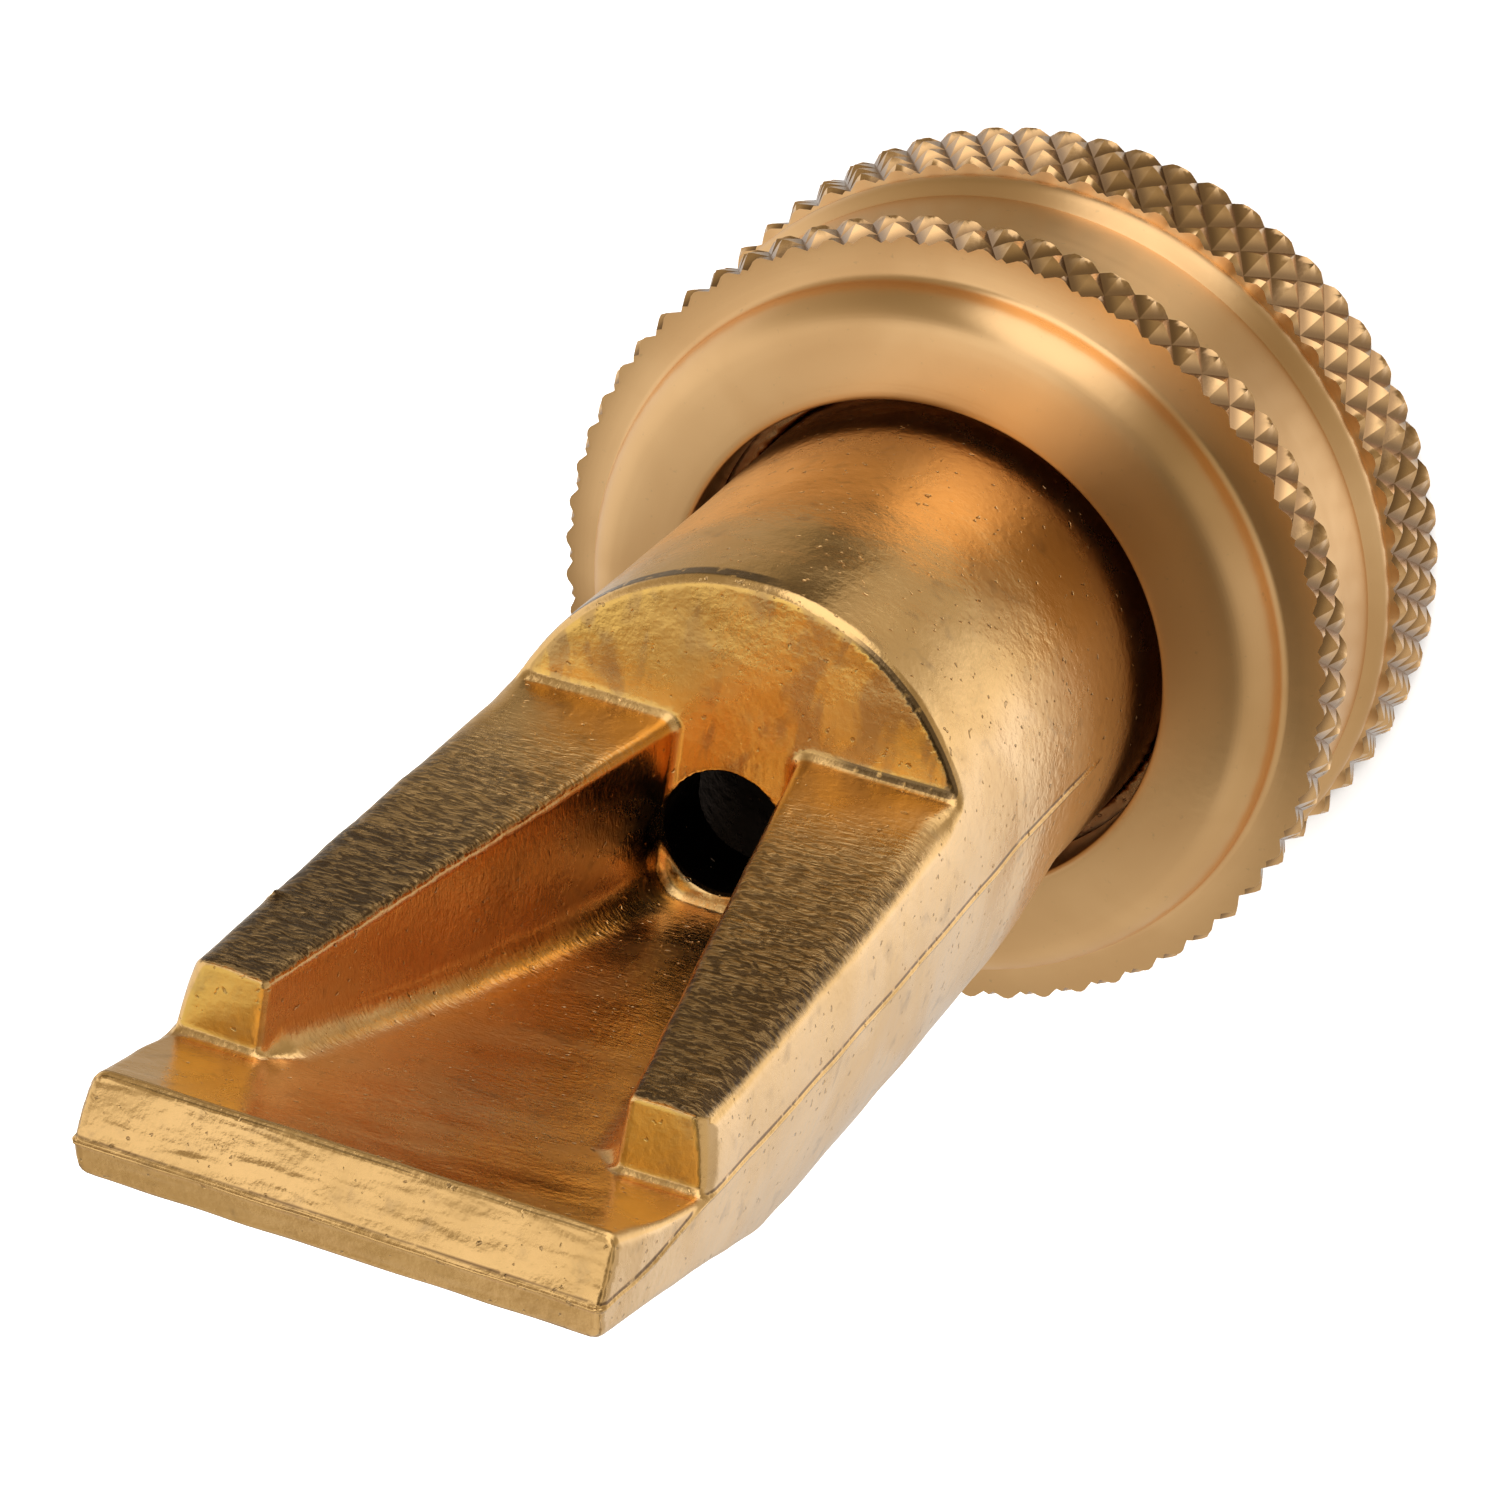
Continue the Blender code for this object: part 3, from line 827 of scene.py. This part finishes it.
def make_cast_brass():
    made, nodes, shader, place, normal = start_surface("cast_brass", 1.0, 0.2)
    region = cast_regions(nodes, place, normal)

    clouds = nodes.noise(place, 0.22, detail=4.0, warp=0.6)
    blotches = nodes.noise(place, 0.9, detail=4.0, warp=0.4)
    grain = nodes.noise(place, 2.3, detail=3.0)
    sand = nodes.noise(place, 6.5, detail=2.0)
    wrinkles = nodes.noise(place, 1.0, (1.7, 2.4, 5.2), detail=5.0, warp=0.8)
    streaks = nodes.noise(place, 1.0, (2.2, 2.2, 7.0), detail=3.0, warp=0.8)
    waves = nodes.noise(place, 1.0, (0.35, 1.3, 1.3), detail=1.0, warp=0.3)
    smears = nodes.noise(place, 1.0, (0.4, 0.17, 0.4), detail=4.0, warp=1.0)
    pits = nodes.span(nodes.noise(place, 2.9, detail=1.0), 0.7, 0.78)

    color = nodes.mix(region.waterway, CAST_GOLD, WATERWAY_BROWN)
    color = nodes.mix(region.wall, color, WALL_GOLD)
    color = nodes.mix(region.rib_front, color, FRONT_GOLD)
    # Painted sheen: the outer side faces are made paler.
    sides = nodes.product(region.outside, nodes.span(region.along, 0.6, 0.4), 0.6)
    color = nodes.mix(sides, color, OUTSIDE_SHEEN_GOLD)
    color = nodes.mix(nodes.span(clouds, 0.35, 0.7, 0.0, 0.35), color, CLOUD_GOLD)
    color = nodes.mix(nodes.span(blotches, 0.55, 0.8, 0.0, 0.4), color, TARNISH)
    # Painted shade: the neck darkens towards the nut's hub.
    color = nodes.mix(nodes.span(region.z, *NECK_DARKENS, 0.0, 0.75), color, NECK_PAINTED_SHADE)
    smeared = nodes.product(region.wall, nodes.span(smears, 0.48, 0.6, 0.0, 0.55))
    color = nodes.mix(smeared, color, SMEAR_BROWN)
    # Rib tops: tarnish in the wrinkles, plus a painted dark reflection that grows darker towards the tip.
    tarnish_and_dark_reflection = nodes.span(region.z, *RIB_TOPS_DARKEN, 0.4, 0.72)
    tarnish_and_dark_reflection = nodes.total(tarnish_and_dark_reflection, nodes.span(wrinkles, 0.58, 0.43, 0.0, 0.38))
    tarnish_and_dark_reflection = nodes.product(region.rib_top, nodes.span(region.z, *RIB_TOPS_DARK_START), tarnish_and_dark_reflection)
    color = nodes.mix(tarnish_and_dark_reflection, color, RIB_TOP_TARNISH_AND_REFLECTION_BROWN)
    # Painted shade in the bore and the orifice, and dark blotches beside the orifice.
    orifice_blotches = nodes.product(region.beside_orifice, nodes.span(blotches, 0.4, 0.55))
    color = nodes.mix(nodes.math("MAXIMUM", orifice_blotches, region.bore), color, BORE_SHADE_AND_BLOTCH_BLACK)
    color = nodes.mix(nodes.product(seam_mask(nodes, region, grain), 0.9), color, SEAM_BROWN)
    color = nodes.mix(nodes.product(pits, 0.4), color, TARNISH)
    # Painted dark edge reflections round the arch, and a dark line along the lip's upper edge.
    color = nodes.mix(nodes.product(arch_reflection_and_lip_lines_mask(nodes, region, grain), 0.85), color, REFLECTION_AND_LIP_LINE_BROWN)
    nodes.put(shader.inputs["Base Color"], color)

    clouded = nodes.span(clouds, 0.3, 0.75, 0.0, 0.12)
    roughness = nodes.total(0.17, nodes.product(region.rib_top, 0.06), clouded)
    roughness = nodes.total(roughness, nodes.product(region.rib_front, 0.12))
    nodes.put(shader.inputs["Roughness"], nodes.total(roughness, nodes.product(sand, 0.06)))

    wrinkled = nodes.span(region.z, *RIB_TOPS_WRINKLE, 0.1, 1.0)
    ribbed = nodes.product(region.rib_top, wrinkled, wrinkles, 0.15)
    striped = nodes.product(nodes.math("MAXIMUM", region.waterway, region.fillet), streaks, 0.022)
    plain = nodes.total(nodes.product(grain, 0.022), nodes.product(sand, 0.006), nodes.product(pits, -0.03))
    dented = nodes.total(nodes.product(region.lip, waves, 0.12), nodes.product(region.lip, grain, 0.008))
    press(nodes, shader, nodes.total(ribbed, striped, nodes.total(plain, dented)))
    return made


NUT_GOLD = (0.93, 0.58, 0.27)
NUT_CLOUD_GOLD = (0.84, 0.5, 0.22)
# Painted shade for the knurl's valleys.
KNURL_VALLEY_SHADE_BROWN = (0.22, 0.12, 0.06)
SPECK_BROWN = (0.5, 0.33, 0.18)


def knurl_mask(nodes, normal, z, radius):
    """1 on the two knurled bands."""
    facing = nodes.split(normal)[2]
    side = nodes.span(nodes.math("ABSOLUTE", facing), 0.9, 0.8)
    front = nodes.span(z, FRONT_BAND_BOTTOM - 0.1, FRONT_BAND_BOTTOM)
    banded = nodes.total(front, nodes.span(z, REAR_BAND_TOP + 0.1, REAR_BAND_TOP))
    return nodes.product(side, banded, nodes.span(radius, 16.2, 16.3))


def make_turned_brass():
    made, nodes, shader, place, normal = start_surface("turned_brass", 1.0, 0.27)
    z = nodes.split(place)[2]
    radius = from_axis(nodes, place)
    turned = nodes.add("ShaderNodeCombineXYZ", inputs={0: radius, 2: z})
    marks = nodes.noise(turned, 9.0, detail=3.0)
    rings = nodes.noise(turned, 1.6, detail=2.0)
    clouds = nodes.noise(place, 0.16, detail=3.0, warp=0.5)
    specks = nodes.noise(place, 3.0, detail=3.0)
    knurled = knurl_mask(nodes, normal, z, radius)
    # Painted shade in the knurl's valleys, deeper towards their bottoms.
    valley = nodes.product(knurled, nodes.span(radius, NUT_RADIUS - 0.12, NUT_RADIUS - 0.48))

    color = nodes.mix(nodes.span(clouds, 0.35, 0.7, 0.0, 0.6), NUT_GOLD, NUT_CLOUD_GOLD)
    color = nodes.mix(nodes.product(valley, 0.75), color, KNURL_VALLEY_SHADE_BROWN)
    color = nodes.mix(nodes.span(specks, 0.66, 0.8, 0.0, 0.3), color, SPECK_BROWN)
    nodes.put(shader.inputs["Base Color"], color)
    roughness = nodes.total(0.25, nodes.span(clouds, 0.3, 0.7, 0.0, 0.08), nodes.product(rings, 0.06))
    roughness = nodes.total(roughness, nodes.product(knurled, -0.13))
    nodes.put(shader.inputs["Roughness"], roughness)
    shader.inputs["Anisotropic"].default_value = 0.8
    shader.inputs["Anisotropic Rotation"].default_value = 0.25
    around = nodes.add("ShaderNodeTangent", direction_type="RADIAL", axis="Z")
    nodes.put(shader.inputs["Tangent"], around)
    cut = nodes.total(nodes.product(marks, 0.0025), nodes.product(rings, 0.004))
    press(nodes, shader, nodes.total(cut, nodes.product(specks, 0.002)))
    return made


RUBBER_BLACK = (0.012, 0.012, 0.012)
RUBBER_GREY = (0.035, 0.034, 0.032)


def make_black_rubber():
    made, nodes, shader, place, _ = start_surface("black_rubber", 0.0, 0.6)
    clouds = nodes.noise(place, 0.5, detail=4.0)
    grain = nodes.noise(place, 5.0, detail=2.0)
    nodes.put(shader.inputs["Base Color"], nodes.mix(clouds, RUBBER_BLACK, RUBBER_GREY))
    nodes.put(shader.inputs["Roughness"], nodes.span(grain, 0.3, 0.7, 0.5, 0.7))
    press(nodes, shader, nodes.product(grain, 0.01))
    return made


# The studio.


def area_light(name, place, target, size, power):
    data = bpy.data.lights.new(name, "AREA")
    data.shape = "RECTANGLE"
    data.size, data.size_y = size
    data.energy = power
    made = bpy.data.objects.new(name, data)
    made.location = place
    made.rotation_mode = "QUATERNION"
    made.rotation_quaternion = (Vector(target) - Vector(place)).to_track_quat("-Z", "Y")
    bpy.context.scene.collection.objects.link(made)
    return made


# How bright the studio is by direction: bearings in degrees, 0 towards -Y and 90 towards +X.
BRIGHTEST = 1.4
TOP_ELEVATIONS = (54, 62)  # from the sides' brightness to the top's
BOTTOM_ELEVATIONS = (-38, -54)  # from the sides' brightness to the bottom's
WHITE = (1.0, 1.0, 1.0)
WARM = (1.0, 0.86, 0.6)  # of the dimmer places
STUDIO_SIDES = (
    (-180, 0.67),
    (-143, 0.57),
    (-120, 0.48),
    (-85, 0.62),
    (-66, 0.44),
    (-38, 0.28),
    (-29, 0.35),
    (-20, 1.35),
    (11, 1.35),
    (19, 0.32),
    (37, 0.26),
    (52, 0.36),
    (63, 0.45),
    (74, 0.85),
    (97, 0.88),
    (126, 0.75),
    (138, 0.4),
    (152, 0.4),
    (165, 0.62),
    (180, 0.67),
)
STUDIO_TOP = (
    (-180, 0.08),
    (-35, 0.1),
    (0, 0.45),
    (20, 1.05),
    (95, 0.95),
    (124, 0.9),
    (137, 0.07),
    (180, 0.07),
)
STUDIO_BOTTOM = (
    (-180, 0.65),
    (-120, 1.0),
    (-100, 1.2),
    (-68, 1.05),
    (-45, 0.6),
    (-25, 0.42),
    (2, 0.42),
    (10, 0.08),
    (30, 0.08),
    (38, 0.3),
    (60, 0.42),
    (97, 0.42),
    (130, 0.75),
    (180, 0.65),
)


def bearings(nodes, bearing, stops):
    """Brightness round the studio, from pairs of bearing and light."""
    return nodes.ramp(bearing, [((angle + 180) / 360, light / BRIGHTEST) for angle, light in stops])


def studio_light():
    """A soft studio all round, brighter on some sides and dark on others, for the metal to reflect."""
    world = bpy.data.worlds.new("studio")
    bpy.context.scene.world = world
    world.use_nodes = True
    nodes = Nodes(world.node_tree)
    direction = nodes.add("ShaderNodeTexCoord", "Generated")
    split = nodes.add("ShaderNodeSeparateXYZ", inputs={0: direction}).node.outputs
    turn = nodes.math("ARCTAN2", split["X"], nodes.math("MULTIPLY", split["Y"], -1.0))
    bearing = nodes.math("MULTIPLY_ADD", turn, 1 / TAU, 0.5)
    sides = bearings(nodes, bearing, STUDIO_SIDES)
    high = nodes.span(split["Z"], *(math.sin(math.radians(e)) for e in TOP_ELEVATIONS))
    low = nodes.span(split["Z"], *(math.sin(math.radians(e)) for e in BOTTOM_ELEVATIONS))
    light = nodes.mix(high, sides, bearings(nodes, bearing, STUDIO_TOP))
    light = nodes.mix(low, light, bearings(nodes, bearing, STUDIO_BOTTOM))
    warmth = nodes.mix(nodes.span(light, 0.15, 0.55), WARM, WHITE)
    background = world.node_tree.nodes["Background"]
    nodes.put(background.inputs["Color"], nodes.mix(1.0, light, warmth, "MULTIPLY"))
    background.inputs["Strength"].default_value = BRIGHTEST


FLOOR_HALF = 1.5  # metres
FLOOR_WHITE = (0.9, 0.9, 0.9)
MOUTH_BLACK = (0.01, 0.008, 0.006)


def pale_floor():
    mesh = bpy.data.meshes.new("floor")
    corners = [(FLOOR_HALF * x, FLOOR_HALF * y, 0) for x, y in ((-1, -1), (1, -1), (1, 1), (-1, 1))]
    mesh.from_pydata(corners, [], [(0, 1, 2, 3)])
    mesh.materials.append(principled("floor_paper", FLOOR_WHITE, 0, 0.8))
    floor = bpy.data.objects.new("floor", mesh)
    bpy.context.scene.collection.objects.link(floor)
    floor.visible_glossy = False


def dark_mouth():
    """The unlit inside of the nozzle, as seen through the orifice where no hose is screwed on."""
    count = 48
    turns = [TAU * k / count for k in range(count)]
    radius = THREAD_MINOR_RADIUS - 0.5
    mesh = bpy.data.meshes.new("dark_mouth")
    rim = [(radius * MM * math.cos(t), radius * MM * math.sin(t), 0.1 * MM) for t in turns]
    mesh.from_pydata(rim, [], [tuple(range(count))])
    mesh.materials.append(principled("dark", MOUTH_BLACK, 0, 0.9))
    disc = bpy.data.objects.new("dark_mouth", mesh)
    bpy.context.scene.collection.objects.link(disc)


OVERHEAD_PLACE = (0.0, -0.2, 0.9)
OVERHEAD_SIZE = (1.2, 1.2)
OVERHEAD_WATTS = 24


def studio():
    studio_light()
    pale_floor()
    dark_mouth()
    overhead = area_light("overhead", OVERHEAD_PLACE, (0, 0, 0), OVERHEAD_SIZE, OVERHEAD_WATTS)
    overhead.visible_glossy = False


# The photograph's viewpoint, in degrees and metres.
VIEW_TARGET = Vector((1.34, -0.93, 29.44)) * MM
VIEW_AZIMUTH = -34.65
VIEW_ELEVATION = 55.57
VIEW_ROLL = -133.88
VIEW_DISTANCE = 0.2969
VIEW_LENS = 182.5


def camera():
    a, e = math.radians(VIEW_AZIMUTH), math.radians(VIEW_ELEVATION)
    back = Vector((math.sin(a) * math.cos(e), -math.cos(a) * math.cos(e), math.sin(e)))
    data = bpy.data.cameras.new("camera")
    data.lens = VIEW_LENS
    data.sensor_width = 36
    data.clip_start, data.clip_end = 0.01, 10
    made = bpy.data.objects.new("camera", data)
    made.location = VIEW_TARGET + back * VIEW_DISTANCE
    made.rotation_mode = "QUATERNION"
    roll = Quaternion((0, 0, 1), math.radians(VIEW_ROLL))
    made.rotation_quaternion = (-back).to_track_quat("-Z", "Y") @ roll
    bpy.context.scene.collection.objects.link(made)
    bpy.context.scene.camera = made


spreader_body(make_cast_brass())
coupling_nut(make_turned_brass())
hose_washer(make_black_rubber())
studio()
camera()
bpy.context.scene.view_settings.view_transform = "Standard"
